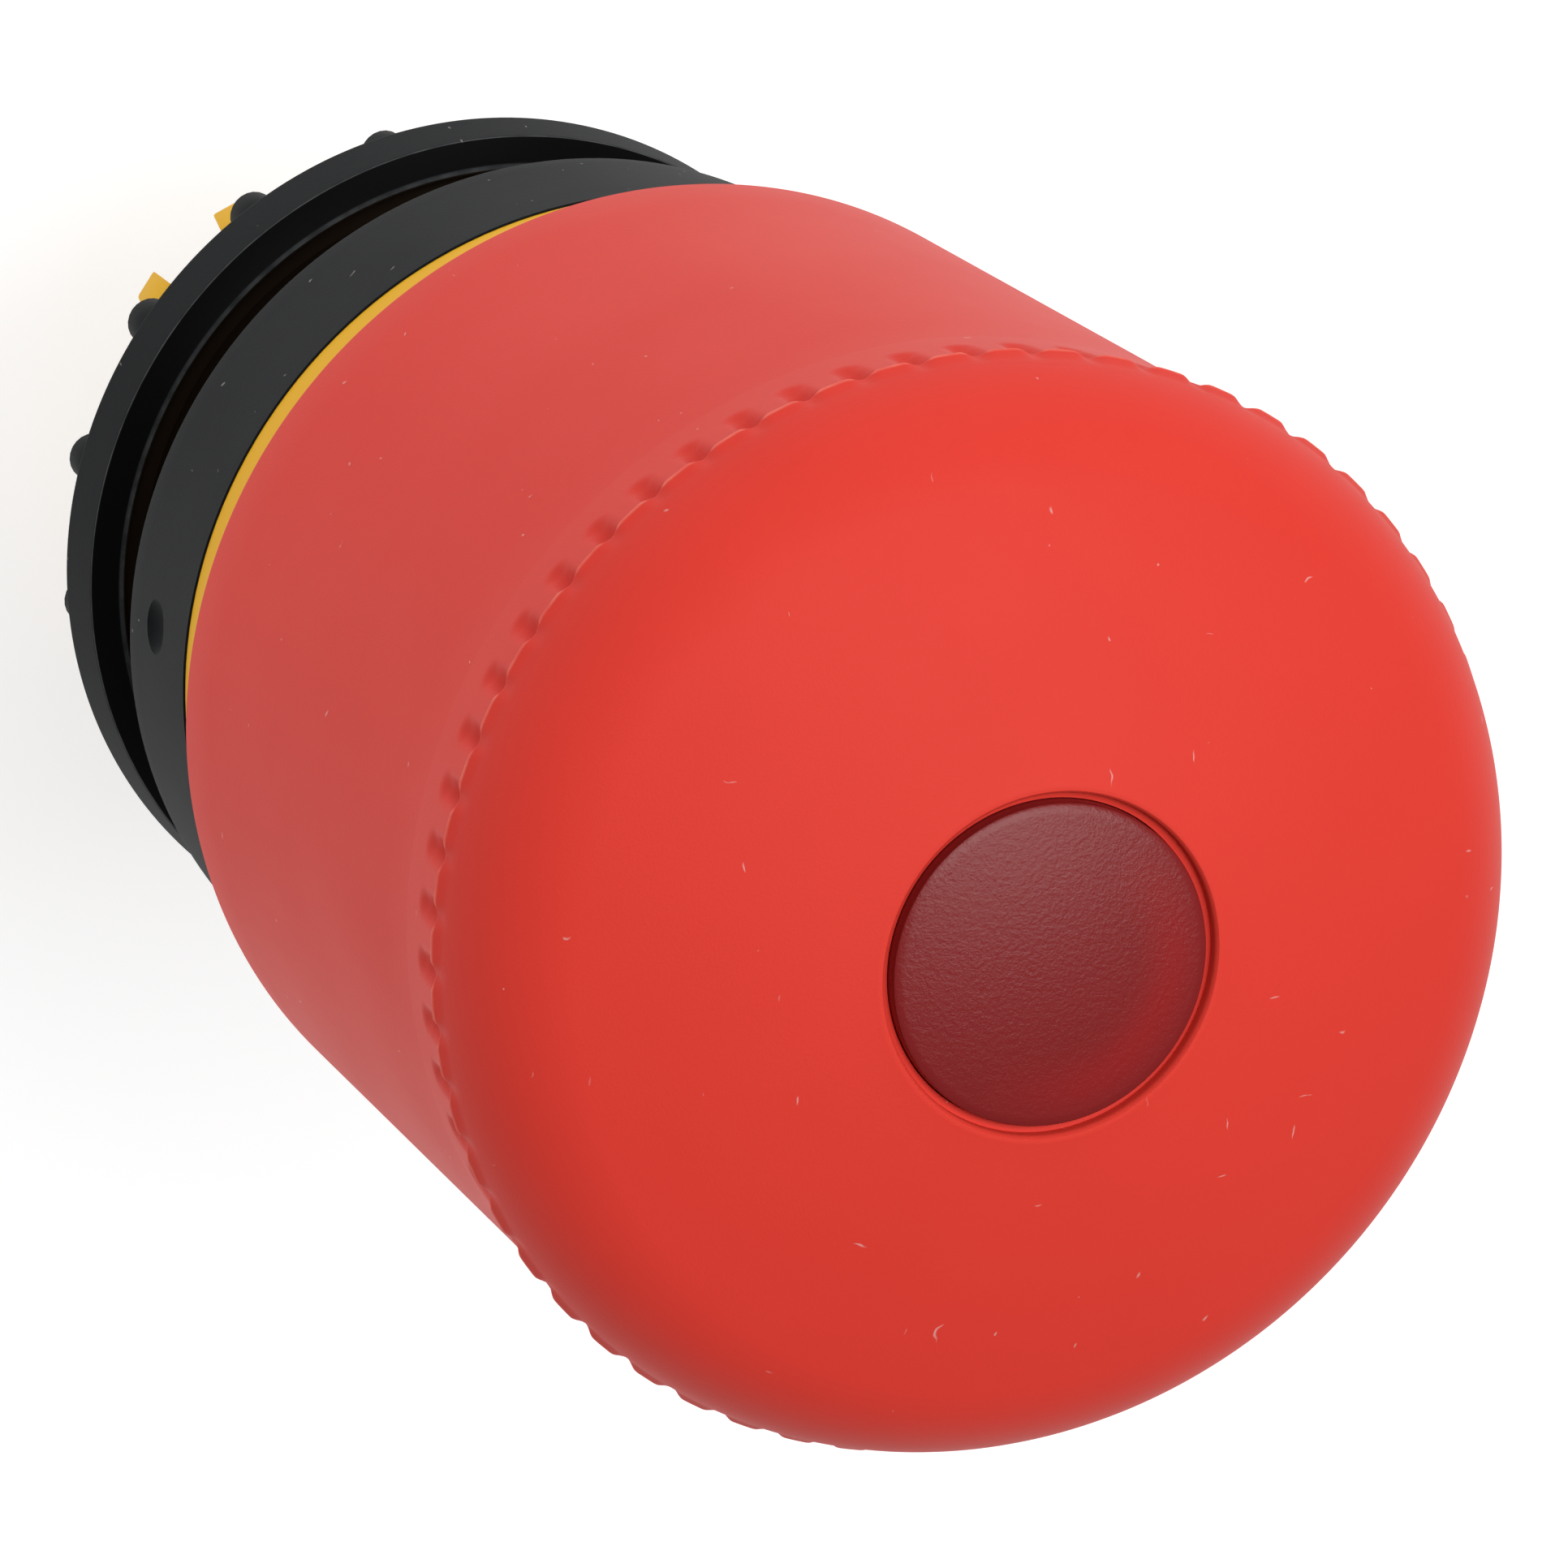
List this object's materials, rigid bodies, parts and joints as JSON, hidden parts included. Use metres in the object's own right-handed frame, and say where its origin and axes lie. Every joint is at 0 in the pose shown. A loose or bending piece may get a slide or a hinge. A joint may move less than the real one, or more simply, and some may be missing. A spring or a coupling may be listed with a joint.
{
  "type": "emergency stop button",
  "caption": "Illuminated pull-to-release emergency stop operator with a tall red mushroom head, knurled rim, yellow ring, black bezel and threaded barrel with a ring nut behind the panel.",
  "frame": {"origin": "centre of the panel hole, on the panel's front face where the gasket rests", "axes": "+Z along the operator's axis, out of the panel towards the hand; +X and +Y along the panel"},
  "size_m": [0.038, 0.038, 0.0671],
  "materials": {
    "red_plastic": "fine spark-eroded grain",
    "lens_red": "translucent, fine pebble texture",
    "yellow_plastic": "satin moulded",
    "black_plastic": "satin moulded",
    "rubber": "matte",
    "natural_plastic": "natural acetal",
    "clear_plastic": "polished, clear",
    "steel": "plain spring steel"
  },
  "bodies": {
    "housing": {"operator_barrel": "black_plastic", "spring_seat": "natural_plastic", "panel_gasket": "rubber", "bezel_ring": "black_plastic", "guard_collar": "black_plastic", "yellow_ring": "yellow_plastic", "guide_sleeve": "natural_plastic", "stem_seal": "rubber", "latch_cage": "natural_plastic", "latch_spring_band": "steel", "return_spring": "steel"},
    "head": {"mushroom_head": "red_plastic", "head_lens": "lens_red", "lens_gasket": "rubber", "head_hub": "black_plastic", "push_stem": "natural_plastic", "light_guide": "clear_plastic", "spring_washer": "steel", "pressure_piece": "yellow_plastic", "stem_clip": "steel"},
    "pawl_right": {"latch_pawl_right": "steel"},
    "pawl_left": {"latch_pawl_left": "steel"},
    "nut": {"ring_nut": "black_plastic"}
  },
  "joints": [
    {"name": "head_push", "type": "slide", "parent": "housing", "child": "head", "axis": [0, 0, -1], "range_m": [0, 0.005], "deforming": ["return_spring"]},
    {"name": "latch_right", "type": "slide", "parent": "housing", "child": "pawl_right", "axis": [1, 0, 0], "range_m": [0, 0.0015]},
    {"name": "latch_left", "type": "slide", "parent": "housing", "child": "pawl_left", "axis": [-1, 0, 0], "range_m": [0, 0.0015]},
    {"name": "nut_travel", "type": "slide", "parent": "housing", "child": "nut", "axis": [0, 0, -1], "range_m": [0, 0.0048]}
  ],
  "couplings": [
    {"joint": "latch_right", "follows": "head_push", "ratio": 0.3},
    {"joint": "latch_left", "follows": "head_push", "ratio": 0.3}
  ]
}
